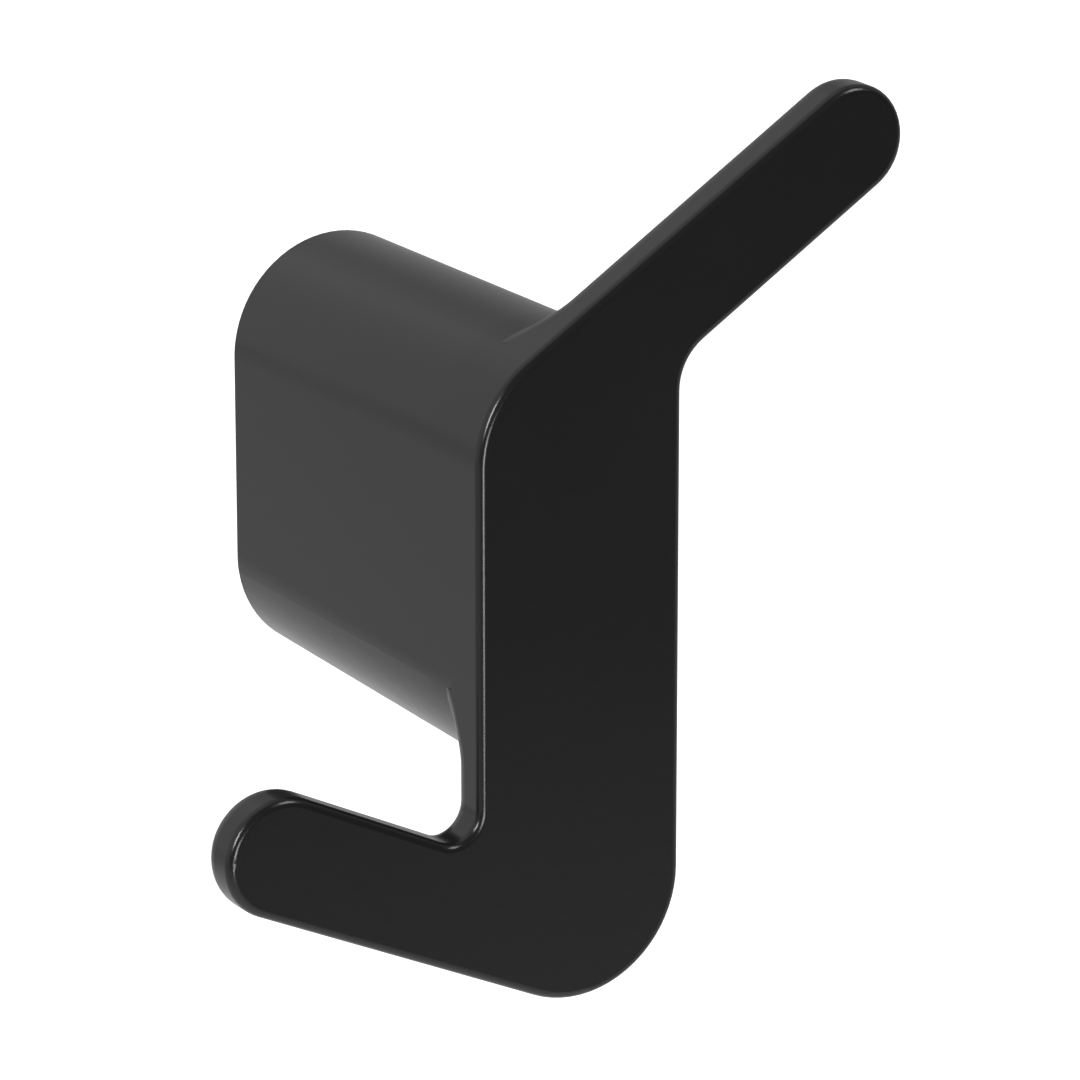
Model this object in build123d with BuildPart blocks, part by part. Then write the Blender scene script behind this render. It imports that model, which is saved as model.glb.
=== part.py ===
from build123d import *
import math
import os

# Robe hook, in millimetres. The post's wall face lies in the XZ plane, with the origin at its middle.
# The room is towards -Y, the upper arm rises to +X and the lower hook rises to -X.

# Front plate: the stem, the upper arm and the lower hook are one outline
stem_width = 22.0
plate_thickness = 5.0
front_edge_radius = 0.8
rear_edge_radius = 2.3
foot_radius = 11.0          # outer corner where the stem turns into the lower hook

arm_angle = 31.7            # above the horizontal
arm_width = 10.8
arm_reach = 35.3            # from the middle of the stem to the arm's outermost point
crook_radius = 5.3          # inner corner between the stem and the upper arm

hook_reach = 37.5           # from the middle of the stem to the hook's outermost point
hook_drop = 22.6            # from the origin down to the centre of the hook's round tip
hook_tip_radius = 5.8
hook_top_slope = 26.4
hook_bottom_slope = 25.5    # a little less than the top's, so the hook swells towards its tip
hook_inner_radius = 2.6     # corner between the hook's top and the stem

# Post between the wall and the plate, as wide as the stem and round at both ends
post_depth = 40.0
post_height = 42.0          # at the wall
post_plate_height = 43.4    # at the plate, because the ends of the post have draft
post_landing = 3.0          # stretch without draft between the draft and a collar
collar_radius = 1.0         # hollow collar between the post and the back of the plate
collar_sink = 1.0           # how far a collar runs into the post and the plate
rounding_run_in = 1.0       # from the ends of the post's flat sides to the start of the rear rounding
rounding_start_angle = 5.0  # round the post, from where it parts from the arm to the start of the rounding

# Core that opens at the wall
post_wall = 3.0
core_depth = 34.0
core_draft = 1.0
core_floor_chamfer = 1.5

# Wall bracket: a block with dovetailed upper and lower edges
bracket_width = 12.0
bracket_thickness = 6.0
bracket_corner_radius = 2.0
bracket_edge_chamfer = 0.4
dovetail_angle = 20.0
keeper_width = 8.0
keeper_height = 3.9         # from the roof of the core down to the bracket
keeper_set_back = 0.2       # keeps the keeper off the wall
foot_gap = 5.3              # from the bracket down to the floor of the core
seat_clearance = 0.1

wall_screw_hole_radius = 2.25
wall_screw_head_radius = 4.2
wall_screw_head_angle = 90.0
wall_screw_spacing = 15.0

# M4 x 8 grub screw in the underside of the post
grub_radius = 2.0
grub_length = 8.0
grub_from_wall = 4.5
grub_point_chamfer = 1.0
grub_rim_chamfer = 0.3
grub_key_width = 2.0        # across the flats of the hexagon socket
grub_key_depth = 2.5
thread_clearance = 0.05
boss_radius = 4.0
boss_gap = 2.5              # from the bracket down to the boss

rim_match = 0.01            # an edge that is this near the outline lies on it

half_stem = stem_width / 2
half_post = post_height / 2
post_end = post_plate_height / 2 - half_stem
core_width = stem_width - 2 * post_wall
core_height = post_height - 2 * post_wall
core_top = core_height / 2

bracket_top = core_top - keeper_height
bracket_bottom = foot_gap - core_top
bracket_height = bracket_top - bracket_bottom
bracket_middle = (bracket_top + bracket_bottom) / 2
undercut = bracket_thickness * math.tan(math.radians(dovetail_angle))
boss_top = bracket_bottom - boss_gap

wall_plane = Plane.XZ
plate_back = wall_plane.offset(post_depth)
collar_start = post_depth - collar_radius
landing_plane = wall_plane.offset(collar_start - post_landing)


def heading(angle):
    return Vector(math.cos(math.radians(angle)), math.sin(math.radians(angle)))


# Point at a given x on the straight line through start at an angle
def on_line(start, angle, x):
    return Vector(x, start.Y + (x - start.X) * math.tan(math.radians(angle)))


# The arm's upper edge touches the circle of the post's upper end
along_arm = heading(arm_angle)
across_arm = heading(arm_angle + 90)
arm_root = Vector(0, post_end) + across_arm * (half_stem - arm_width / 2)
arm_tip_x = arm_reach - arm_width / 2
arm_tip = arm_root + along_arm * ((arm_tip_x - arm_root.X) / along_arm.X)
arm_top = arm_tip + across_arm * arm_width / 2
arm_bottom = arm_tip - across_arm * arm_width / 2
arm_nose = arm_tip + along_arm * arm_width / 2

hook_tip = Vector(hook_tip_radius - hook_reach, -hook_drop)
hook_top = hook_tip + heading(90 - hook_top_slope) * hook_tip_radius
hook_bottom = hook_tip - heading(90 - hook_bottom_slope) * hook_tip_radius
hook_nose = hook_tip - heading(-(hook_top_slope + hook_bottom_slope) / 2) * hook_tip_radius

shoulder = on_line(arm_top, arm_angle, -half_stem)
crook = on_line(arm_bottom, arm_angle, half_stem)
throat = on_line(hook_top, -hook_top_slope, -half_stem)
foot = on_line(hook_bottom, -hook_bottom_slope, half_stem)


# Edges that follow the plate's outline at its back, no further back than a collar reaches
def rear_edges(part):
    rim = outline.sketch.face().outer_wire()

    def on_rim(edge):
        middle = edge @ 0.5
        below = Vector(middle.X, -post_depth, middle.Z)
        along = abs((edge % 0.5).Y)
        return rim.distance_to(below) < rim_match and along < 1 - rim_match

    back = part.edges().filter_by(lambda e: -post_depth - rim_match < (e @ 0.5).Y < -collar_start)
    return back.filter_by(on_rim)


# The casting before its collars, its rear rounding and its core
with BuildPart() as blank:
    with BuildSketch(plate_back) as outline:
        with BuildLine():
            Polyline(arm_top, shoulder, throat, hook_top)
            ThreePointArc(hook_top, hook_nose, hook_bottom)
            Polyline(hook_bottom, foot, crook, arm_bottom)
            ThreePointArc(arm_bottom, arm_nose, arm_top)
        make_face()
        fillet(outline.vertices().sort_by_distance(shoulder)[0], half_stem)
        fillet(outline.vertices().sort_by_distance(throat)[0], hook_inner_radius)
        fillet(outline.vertices().sort_by_distance(foot)[0], foot_radius)
        fillet(outline.vertices().sort_by_distance(crook)[0], crook_radius)
    extrude(amount=plate_thickness)
    fillet(blank.faces().sort_by(Axis.Y)[0].edges(), front_edge_radius)

    # The post is flush with the stem's sides and the shoulder, and a ruled loft gives its ends their draft
    with BuildSketch(landing_plane):
        SlotOverall(post_plate_height, stem_width, rotation=90)
    extrude(amount=post_landing + collar_radius + plate_thickness / 2)
    with BuildSketch(wall_plane):
        SlotOverall(post_height, stem_width, rotation=90)
    with BuildSketch(landing_plane):
        SlotOverall(post_plate_height, stem_width, rotation=90)
    loft(ruled=True)

# A collar carries each round end of the post into the plate's back, as far as the outline
with BuildPart() as collars:
    for side in (1, -1):
        with BuildSketch(Plane.XY.offset(side * post_end)):
            with BuildLine():
                Polyline(
                    (half_stem, -collar_start),
                    (half_stem - collar_sink, -collar_start),
                    (half_stem - collar_sink, -post_depth - collar_sink),
                    (half_stem + collar_radius, -post_depth - collar_sink),
                    (half_stem + collar_radius, -post_depth),
                )
                CenterArc((half_stem + collar_radius, -collar_start), collar_radius, 180, 90)
            make_face()
        revolve(axis=Axis((0, 0, side * post_end), (0, 1, 0)))
    with BuildSketch(plate_back.offset(collar_sink)):
        add(outline.sketch_local)
    extrude(amount=-collar_radius - 2 * collar_sink, mode=Mode.INTERSECT)

# The rear rounding has no width where post and plate part, so it starts a little further on
upper_cut = Plane.XY.offset(post_end + rounding_run_in)
lower_cut = Plane.XY.offset(-post_end - rounding_run_in)
arm_cut = Plane.YZ.offset(half_stem * math.cos(math.radians(arm_angle + 90 - rounding_start_angle)))

with BuildPart() as middle_piece:
    add(blank.part)
    split(bisect_by=upper_cut, keep=Keep.BOTTOM)
    split(bisect_by=lower_cut, keep=Keep.TOP)

with BuildPart() as shoulder_piece:
    add(blank.part)
    split(bisect_by=upper_cut, keep=Keep.TOP)
    split(bisect_by=arm_cut, keep=Keep.BOTTOM)

with BuildPart() as arm_piece:
    add(blank.part)
    add(collars.part)
    split(bisect_by=upper_cut, keep=Keep.TOP)
    split(bisect_by=arm_cut, keep=Keep.TOP)
    fillet(rear_edges(arm_piece.part), rear_edge_radius)

with BuildPart() as foot_piece:
    add(blank.part)
    add(collars.part)
    split(bisect_by=lower_cut, keep=Keep.BOTTOM)
    fillet(rear_edges(foot_piece.part), rear_edge_radius)

with BuildPart() as hook_body:
    add(middle_piece.part)
    add(shoulder_piece.part)
    add(arm_piece.part)
    add(foot_piece.part)

    # Core
    with BuildSketch(wall_plane):
        SlotOverall(core_height, core_width, rotation=90)
    core = extrude(amount=core_depth, taper=core_draft, mode=Mode.PRIVATE)
    add(core.chamfer(core_floor_chamfer, None, core.faces().sort_by(Axis.Y)[0].edges()), mode=Mode.SUBTRACT)

    # Keeper that hangs behind the bracket's upper edge
    keeper_rise = seat_clearance / math.cos(math.radians(dovetail_angle))
    wall_middle = half_post - post_wall / 2
    keeper_tip = bracket_top + keeper_rise - undercut * (1 - keeper_set_back / bracket_thickness)
    with BuildSketch(Plane.YZ.offset(-keeper_width / 2)):
        with BuildLine():
            Polyline(
                (-keeper_set_back, keeper_tip),
                (-bracket_thickness, bracket_top + keeper_rise),
                (-bracket_thickness, wall_middle),
                (-keeper_set_back, wall_middle),
                close=True,
            )
        make_face()
    extrude(amount=keeper_width)

    # Boss and tapped hole for the grub screw
    with BuildSketch(Plane.XY.offset(-wall_middle)):
        with Locations((0, -grub_from_wall)):
            Circle(boss_radius)
    extrude(amount=wall_middle + boss_top)
    with BuildSketch(Plane.XY.offset(boss_top)):
        with Locations((0, -grub_from_wall)):
            Circle(grub_radius + thread_clearance)
    extrude(amount=-half_post, mode=Mode.SUBTRACT)

# Wall bracket
with BuildPart() as wall_bracket:
    with BuildSketch(wall_plane):
        with Locations((0, bracket_middle)):
            RectangleRounded(bracket_width, bracket_height, bracket_corner_radius)
    extrude(amount=bracket_thickness)
    for side in (1, -1):
        edge = bracket_middle + side * bracket_height / 2
        with BuildSketch(Plane.YZ.offset(-bracket_width / 2)):
            with BuildLine():
                Polyline(
                    (0, edge - side * undercut),
                    (-bracket_thickness, edge),
                    (0, edge),
                    close=True,
                )
            make_face()
        extrude(amount=bracket_width, mode=Mode.SUBTRACT)
    chamfer(wall_bracket.faces().sort_by(Axis.Y)[0].edges(), bracket_edge_chamfer)
    with Locations(wall_plane.offset(bracket_thickness)):
        with Locations((0, bracket_middle)):
            with GridLocations(0, wall_screw_spacing, 1, 2):
                CounterSinkHole(
                    wall_screw_hole_radius,
                    wall_screw_head_radius,
                    depth=bracket_thickness,
                    counter_sink_angle=wall_screw_head_angle,
                )

# The screw's flat point stops just under the bracket's lower dovetail
point_radius = grub_radius - grub_point_chamfer
point_front = grub_from_wall + point_radius
grub_top = bracket_bottom + undercut * (1 - point_front / bracket_thickness) - seat_clearance
grub_bottom = grub_top - grub_length

with BuildPart() as grub_screw:
    with BuildSketch(Plane.XY.offset(grub_bottom)):
        with Locations((0, -grub_from_wall)):
            Circle(grub_radius)
    extrude(amount=grub_length)
    chamfer(grub_screw.faces().sort_by(Axis.Z)[-1].edges(), grub_point_chamfer)
    chamfer(grub_screw.faces().sort_by(Axis.Z)[0].edges(), grub_rim_chamfer)
    with BuildSketch(Plane.XY.offset(grub_bottom)):
        with Locations((0, -grub_from_wall)):
            RegularPolygon(grub_key_width / 2, 6, major_radius=False)
    extrude(amount=grub_key_depth, mode=Mode.SUBTRACT)

hook_body.part.label = "hook_body"
wall_bracket.part.label = "wall_bracket"
grub_screw.part.label = "grub_screw"

os.makedirs("parts", exist_ok=True)
export_step(hook_body.part, "parts/hook_body.step")
export_step(wall_bracket.part, "parts/wall_bracket.step")
export_step(grub_screw.part, "parts/grub_screw.step")
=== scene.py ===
import math

import bpy
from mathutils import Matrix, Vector

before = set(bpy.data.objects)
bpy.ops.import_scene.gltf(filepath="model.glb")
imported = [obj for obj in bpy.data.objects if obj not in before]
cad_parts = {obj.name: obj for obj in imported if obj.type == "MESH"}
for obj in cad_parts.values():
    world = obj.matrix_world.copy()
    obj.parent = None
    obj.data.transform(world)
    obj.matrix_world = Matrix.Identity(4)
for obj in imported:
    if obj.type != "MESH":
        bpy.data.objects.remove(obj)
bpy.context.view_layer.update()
scene = bpy.context.scene
print("frame loaded:", sorted(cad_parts))

# Robe hook: the wall is the plane y = 0, the room is towards -Y, sizes in metres


def newNodes(tree, kinds):
    made = {}
    for name, kind in kinds.items():
        made[name] = tree.nodes.new(kind)
        made[name].name = name
    return made


def join(tree, made, wires):
    # each wire is (node, its output, node, its input)
    for source, output, target, socket in wires:
        tree.links.new(made[source].outputs[output], made[target].inputs[socket])


def setRange(node, low, high, toLow, toHigh, shape="SMOOTHSTEP"):
    node.interpolation_type = shape
    node.inputs["From Min"].default_value = low
    node.inputs["From Max"].default_value = high
    node.inputs["To Min"].default_value = toLow
    node.inputs["To Max"].default_value = toHigh


# Satin black lacquer of the casting: fine orange peel, and gloss that wanders a little
lacquer = {
    "color": (0.0107, 0.0107, 0.0109, 1.0),
    "ior": 1.5,
    "roughness": 0.22,
    "hazeScale": 60.0,
    "hazeDetail": 3.0,
    "hazeSpread": 0.03,
    "peelScale": 900.0,
    "peelDetail": 2.0,
    "peelHeight": 0.000004,
}

blackLacquer = bpy.data.materials.new("blackLacquer")
blackLacquer.use_nodes = True
tree = blackLacquer.node_tree
shader = tree.nodes["Principled BSDF"]
shader.inputs["Base Color"].default_value = lacquer["color"]
shader.inputs["IOR"].default_value = lacquer["ior"]
made = newNodes(tree, {"place": "ShaderNodeTexCoord", "peel": "ShaderNodeTexNoise",
                       "bump": "ShaderNodeBump", "haze": "ShaderNodeTexNoise",
                       "gloss": "ShaderNodeMapRange"})
made["shader"] = shader
made["peel"].inputs["Scale"].default_value = lacquer["peelScale"]
made["peel"].inputs["Detail"].default_value = lacquer["peelDetail"]
made["bump"].inputs["Distance"].default_value = lacquer["peelHeight"]
made["haze"].inputs["Scale"].default_value = lacquer["hazeScale"]
made["haze"].inputs["Detail"].default_value = lacquer["hazeDetail"]
setRange(made["gloss"], 0.0, 1.0, lacquer["roughness"] - lacquer["hazeSpread"],
         lacquer["roughness"] + lacquer["hazeSpread"], "LINEAR")
join(tree, made, [
    ("place", "Object", "peel", "Vector"),
    ("place", "Object", "haze", "Vector"),
    ("peel", "Fac", "bump", "Height"),
    ("bump", "Normal", "shader", "Normal"),
    ("haze", "Fac", "gloss", "Value"),
    ("gloss", "Result", "shader", "Roughness"),
])

# Bright zinc plate of the bracket: cloudy patches over the drawn grain of the steel, which runs along Z
zinc = {
    "dullColor": (0.47, 0.50, 0.54, 1.0),
    "brightColor": (0.66, 0.67, 0.67, 1.0),
    "metallic": 1.0,
    "roughness": 0.34,
    "patchScale": 260.0,
    "patchSpread": 0.1,
    "patchDetail": 4.0,
    "grainScale": 2600.0,
    "grainStretch": (1.0, 1.0, 0.04),
    "grainHeight": 0.000006,
}

brightZinc = bpy.data.materials.new("brightZinc")
brightZinc.use_nodes = True
tree = brightZinc.node_tree
shader = tree.nodes["Principled BSDF"]
shader.inputs["Metallic"].default_value = zinc["metallic"]
made = newNodes(tree, {"place": "ShaderNodeTexCoord", "patch": "ShaderNodeTexNoise",
                       "tint": "ShaderNodeValToRGB", "gloss": "ShaderNodeMapRange",
                       "drawn": "ShaderNodeMapping", "grain": "ShaderNodeTexNoise",
                       "bump": "ShaderNodeBump"})
made["shader"] = shader
made["patch"].inputs["Scale"].default_value = zinc["patchScale"]
made["patch"].inputs["Detail"].default_value = zinc["patchDetail"]
made["tint"].color_ramp.elements[0].color = zinc["dullColor"]
made["tint"].color_ramp.elements[1].color = zinc["brightColor"]
made["drawn"].inputs["Scale"].default_value = zinc["grainStretch"]
made["grain"].inputs["Scale"].default_value = zinc["grainScale"]
made["bump"].inputs["Distance"].default_value = zinc["grainHeight"]
setRange(made["gloss"], 0.0, 1.0, zinc["roughness"] - zinc["patchSpread"],
         zinc["roughness"] + zinc["patchSpread"], "LINEAR")
join(tree, made, [
    ("place", "Object", "patch", "Vector"),
    ("patch", "Fac", "tint", "Fac"),
    ("tint", "Color", "shader", "Base Color"),
    ("patch", "Fac", "gloss", "Value"),
    ("gloss", "Result", "shader", "Roughness"),
    ("place", "Object", "drawn", "Vector"),
    ("drawn", "Vector", "grain", "Vector"),
    ("grain", "Fac", "bump", "Height"),
    ("bump", "Normal", "shader", "Normal"),
])

# Black oxide of the grub screw: a thin film of oil breaks up its gloss
oxide = {
    "color": (0.05, 0.05, 0.052, 1.0),
    "metallic": 0.8,
    "roughness": 0.38,
    "oilScale": 700.0,
    "oilSpread": 0.08,
}

blackOxide = bpy.data.materials.new("blackOxide")
blackOxide.use_nodes = True
tree = blackOxide.node_tree
shader = tree.nodes["Principled BSDF"]
shader.inputs["Base Color"].default_value = oxide["color"]
shader.inputs["Metallic"].default_value = oxide["metallic"]
made = newNodes(tree, {"place": "ShaderNodeTexCoord", "oil": "ShaderNodeTexNoise",
                       "gloss": "ShaderNodeMapRange"})
made["shader"] = shader
made["oil"].inputs["Scale"].default_value = oxide["oilScale"]
setRange(made["gloss"], 0.0, 1.0, oxide["roughness"] - oxide["oilSpread"],
         oxide["roughness"] + oxide["oilSpread"], "LINEAR")
join(tree, made, [
    ("place", "Object", "oil", "Vector"),
    ("oil", "Fac", "gloss", "Value"),
    ("gloss", "Result", "shader", "Roughness"),
])
print("finishes made")

# The casting, the bracket and the screw wear their finishes
finishes = {"hook_body": blackLacquer, "wall_bracket": brightZinc, "grub_screw": blackOxide}

for node, finish in finishes.items():
    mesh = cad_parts[node].data
    mesh.materials.clear()
    mesh.materials.append(finish)
print("pieces finished")

# Paper floor, far enough down that views from below see the hook. It is white to the camera, and glows
# in the gloss of the hook, most under and behind it.
floor = {
    "low": (-5.0, -1.75),
    "high": (5.0, 8.0),
    "z": -0.84,
    "color": (0.82, 0.82, 0.82, 1.0),
    "roughness": 0.9,
    "glowColor": (1.0, 1.0, 1.0, 1.0),
    "seenGlow": 1.0,
    "poolCentre": (0.0, 1.0),
    "poolFrom": 0.4,
    "poolTo": 2.2,
    "poolGlow": 0.365,
    "farGlow": 0.165,
}

floorCorners = [
    (floor["low"][0], floor["low"][1], floor["z"]),
    (floor["high"][0], floor["low"][1], floor["z"]),
    (floor["high"][0], floor["high"][1], floor["z"]),
    (floor["low"][0], floor["high"][1], floor["z"]),
]
floorMesh = bpy.data.meshes.new("paperFloor")
floorMesh.from_pydata(floorCorners, [], [(0, 1, 2, 3)])
paperFloor = bpy.data.objects.new("paperFloor", floorMesh)
scene.collection.objects.link(paperFloor)

paper = bpy.data.materials.new("paper")
paper.use_nodes = True
tree = paper.node_tree
shader = tree.nodes["Principled BSDF"]
shader.inputs["Base Color"].default_value = floor["color"]
shader.inputs["Roughness"].default_value = floor["roughness"]
shader.inputs["Emission Color"].default_value = floor["glowColor"]
made = newNodes(tree, {"path": "ShaderNodeLightPath", "seen": "ShaderNodeMath",
                       "mirrored": "ShaderNodeMath", "spot": "ShaderNodeTexCoord",
                       "away": "ShaderNodeVectorMath", "pool": "ShaderNodeMapRange"})
made["shader"] = shader
made["seen"].operation = "MULTIPLY"
made["seen"].inputs[1].default_value = floor["seenGlow"]
made["mirrored"].operation = "MULTIPLY_ADD"
made["away"].operation = "DISTANCE"
made["away"].inputs[1].default_value = (*floor["poolCentre"], floor["z"])
setRange(made["pool"], floor["poolFrom"], floor["poolTo"], floor["poolGlow"], floor["farGlow"])
join(tree, made, [
    ("spot", "Object", "away", 0),
    ("away", "Value", "pool", "Value"),
    ("path", "Is Camera Ray", "seen", 0),
    ("path", "Is Glossy Ray", "mirrored", 0),
    ("pool", "Result", "mirrored", 1),
    ("seen", "Value", "mirrored", 2),
    ("mirrored", "Value", "shader", "Emission Strength"),
])
floorMesh.materials.append(paper)

# Pale tent round the back and sides: dim to the front, a little brighter above, dimmer to the right
tent = {
    "color": (1.0, 1.0, 1.0, 1.0),
    "pale": 0.66,
    "dim": 0.11,
    "openY": -0.36,
    "closedY": -0.04,
    "lowZ": -0.15,
    "highZ": 0.3,
    "roof": 1.08,
    "leftX": -0.05,
    "rightX": 0.35,
    "right": 0.55,
    "seenGlow": 1.0,
}

world = bpy.data.worlds.new("tent")
scene.world = world
world.use_nodes = True
tree = world.node_tree
made = newNodes(tree, {"way": "ShaderNodeTexCoord", "parts": "ShaderNodeSeparateXYZ",
                       "front": "ShaderNodeMapRange", "roof": "ShaderNodeMapRange",
                       "right": "ShaderNodeMapRange", "roofed": "ShaderNodeMath",
                       "shaded": "ShaderNodeMath", "path": "ShaderNodeLightPath",
                       "pick": "ShaderNodeMix"})
made["background"] = tree.nodes["Background"]
made["background"].inputs["Color"].default_value = tent["color"]
made["roofed"].operation = "MULTIPLY"
made["shaded"].operation = "MULTIPLY"
made["pick"].data_type = "FLOAT"
made["pick"].inputs["B"].default_value = tent["seenGlow"]
setRange(made["front"], tent["openY"], tent["closedY"], tent["dim"], tent["pale"])
setRange(made["roof"], tent["lowZ"], tent["highZ"], 1.0, tent["roof"])
setRange(made["right"], tent["leftX"], tent["rightX"], 1.0, tent["right"])
join(tree, made, [
    ("way", "Generated", "parts", "Vector"),
    ("parts", "Y", "front", "Value"),
    ("parts", "Z", "roof", "Value"),
    ("parts", "X", "right", "Value"),
    ("front", "Result", "roofed", 0),
    ("roof", "Result", "roofed", 1),
    ("roofed", "Value", "shaded", 0),
    ("right", "Result", "shaded", 1),
    ("path", "Is Camera Ray", "pick", "Factor"),
    ("shaded", "Value", "pick", "A"),
    ("pick", "Result", "background", "Strength"),
])

# Soft boxes, turned to the hook. The low one draws the line down the plate's left edge and round the
# hook's tip, the left one the glints outside that line, and the right one those on top of arm and hook.
softBoxes = {
    "lowBox": {"place": (-0.2, -1.25, -0.26), "size": (0.32, 0.42), "watts": 4.7},
    "leftBox": {"place": (-0.98, -0.6, 0.48), "size": (0.2, 0.48), "watts": 6.7},
    "rightBox": {"place": (0.6, -0.72, 0.75), "size": (0.4, 0.4), "watts": 3.0},
}

for name, box in softBoxes.items():
    lampData = bpy.data.lights.new(name, "AREA")
    lampData.shape = "RECTANGLE"
    lampData.size, lampData.size_y = box["size"]
    lampData.energy = box["watts"]
    lamp = bpy.data.objects.new(name, lampData)
    lamp.location = box["place"]
    lamp.rotation_euler = (-Vector(box["place"])).to_track_quat("-Z", "Y").to_euler()
    scene.collection.objects.link(lamp)

# Camera at the photograph's place and angle
lens = {
    "place": (-0.30345, -0.52402, 0.19088),
    "tilt": 71.607,
    "turn": -31.969,
    "length": 217.25,
    "sensor": 36.0,
    "nearest": 0.01,
}

cameraData = bpy.data.cameras.new("photoCamera")
cameraData.sensor_width = lens["sensor"]
cameraData.lens = lens["length"]
cameraData.clip_start = lens["nearest"]
photoCamera = bpy.data.objects.new("photoCamera", cameraData)
photoCamera.location = lens["place"]
photoCamera.rotation_euler = (math.radians(lens["tilt"]), 0.0, math.radians(lens["turn"]))
scene.collection.objects.link(photoCamera)
scene.camera = photoCamera
scene.view_settings.view_transform = "Standard"
print("stage, light and camera set")
